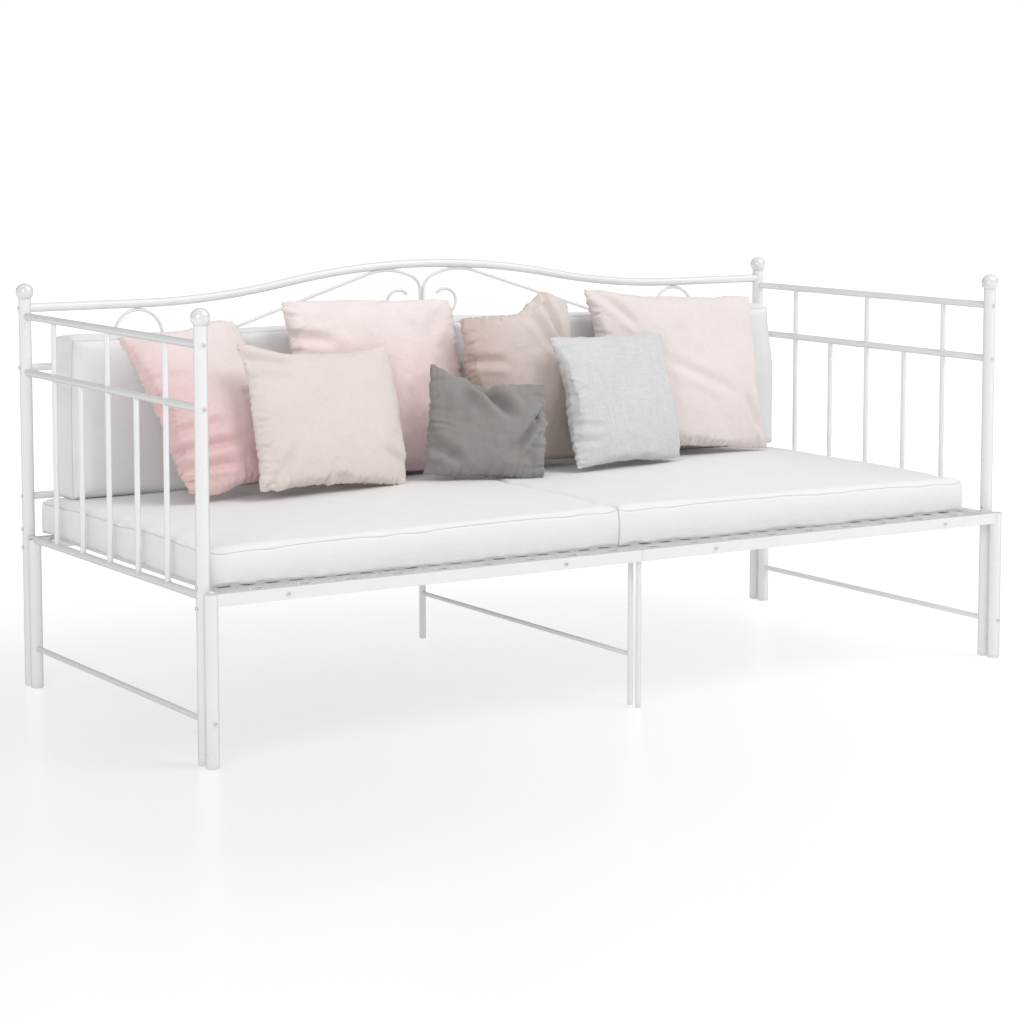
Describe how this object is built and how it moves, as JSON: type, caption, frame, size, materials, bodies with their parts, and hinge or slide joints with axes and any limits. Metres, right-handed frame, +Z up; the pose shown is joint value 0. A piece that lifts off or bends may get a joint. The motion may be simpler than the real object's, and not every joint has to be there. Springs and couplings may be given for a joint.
{
  "type": "daybed",
  "caption": "Metal daybed with spindle arms, curved scroll back and a slatted pull-out that widens the bed, with seat and back cushions and throw pillows.",
  "frame": {"origin": "on the floor, under the middle of the whole object with the pull-out pushed in", "axes": "+X along the bed's length to the right of someone facing it, -Y the open front, +Z up"},
  "size_m": [2.08, 0.9609, 0.929],
  "materials": {
    "white_steel": "white powder coat, semi-gloss",
    "white_plastic": "moulded, satin",
    "finial_plastic": "white, glossy",
    "bolt_steel": "zinc plated, satin",
    "connector_steel": "plain",
    "cushion_cover": "white smooth woven cotton",
    "fabric_rose": "salmon pink velvet-like weave",
    "fabric_cream": "cream cotton",
    "fabric_pale_pink": "pale pink cotton",
    "fabric_grey": "mid grey cotton",
    "fabric_sand": "sand cotton",
    "fabric_grey_linen": "light grey slubbed linen",
    "fabric_blush": "pale blush cotton"
  },
  "bodies": {
    "frame": {"back_post_left": "white_steel", "back_post_right": "white_steel", "front_post_left": "white_steel", "front_post_right": "white_steel", "back_leg_left": "white_steel", "back_leg_right": "white_steel", "front_leg_left": "white_steel", "front_leg_right": "white_steel", "rear_pair_leg_left": "white_steel", "rear_pair_leg_right": "white_steel", "arm_top_rail_left": "white_steel", "arm_top_rail_right": "white_steel", "arm_middle_rail_left": "white_steel", "arm_middle_rail_right": "white_steel", "arm_bottom_rail_left": "white_steel", "arm_bottom_rail_right": "white_steel", "arm_spindles_left": "white_steel", "arm_spindles_right": "white_steel", "side_bar_left": "white_steel", "side_bar_right": "white_steel", "back_top_rail_left": "white_steel", "back_top_rail_right": "white_steel", "main_scroll_left": "white_steel", "main_scroll_right": "white_steel", "back_middle_rail": "white_steel", "back_lower_rail": "white_steel", "back_spindles": "white_steel", "heart_scrolls": "white_steel", "scroll_arches": "white_steel", "fixed_front_rail": "white_steel", "fixed_back_rail": "white_steel", "fixed_slats": "white_steel", "middle_leg_front": "white_steel", "middle_leg_back": "white_steel", "middle_bar": "white_steel", "finials": "finial_plastic", "fixed_feet": "white_plastic", "tube_connectors": "connector_steel", "frame_bolts": "bolt_steel", "seat_cushion_left": "cushion_cover", "seat_cushion_right": "cushion_cover", "back_cushion_left": "cushion_cover", "back_cushion_right": "cushion_cover", "pillow_rose": "fabric_rose", "pillow_cream": "fabric_cream", "pillow_pale_pink": "fabric_pale_pink", "pillow_grey": "fabric_grey", "pillow_sand": "fabric_sand", "pillow_grey_linen": "fabric_grey_linen", "pillow_blush": "fabric_blush"},
    "pull_out": {"pull_out_rail_left": "white_steel", "pull_out_rail_right": "white_steel", "pull_out_leg_left": "white_steel", "pull_out_leg_right": "white_steel", "pull_out_middle_leg": "white_steel", "pull_out_slats": "white_steel", "pull_out_rear_bar": "white_steel", "pull_out_caps": "white_plastic", "pull_out_bolts": "bolt_steel"}
  },
  "joints": [
    {"name": "pull_out_slide", "type": "slide", "parent": "frame", "child": "pull_out", "axis": [0, -1, 0], "range_m": [0, 0.825]}
  ]
}
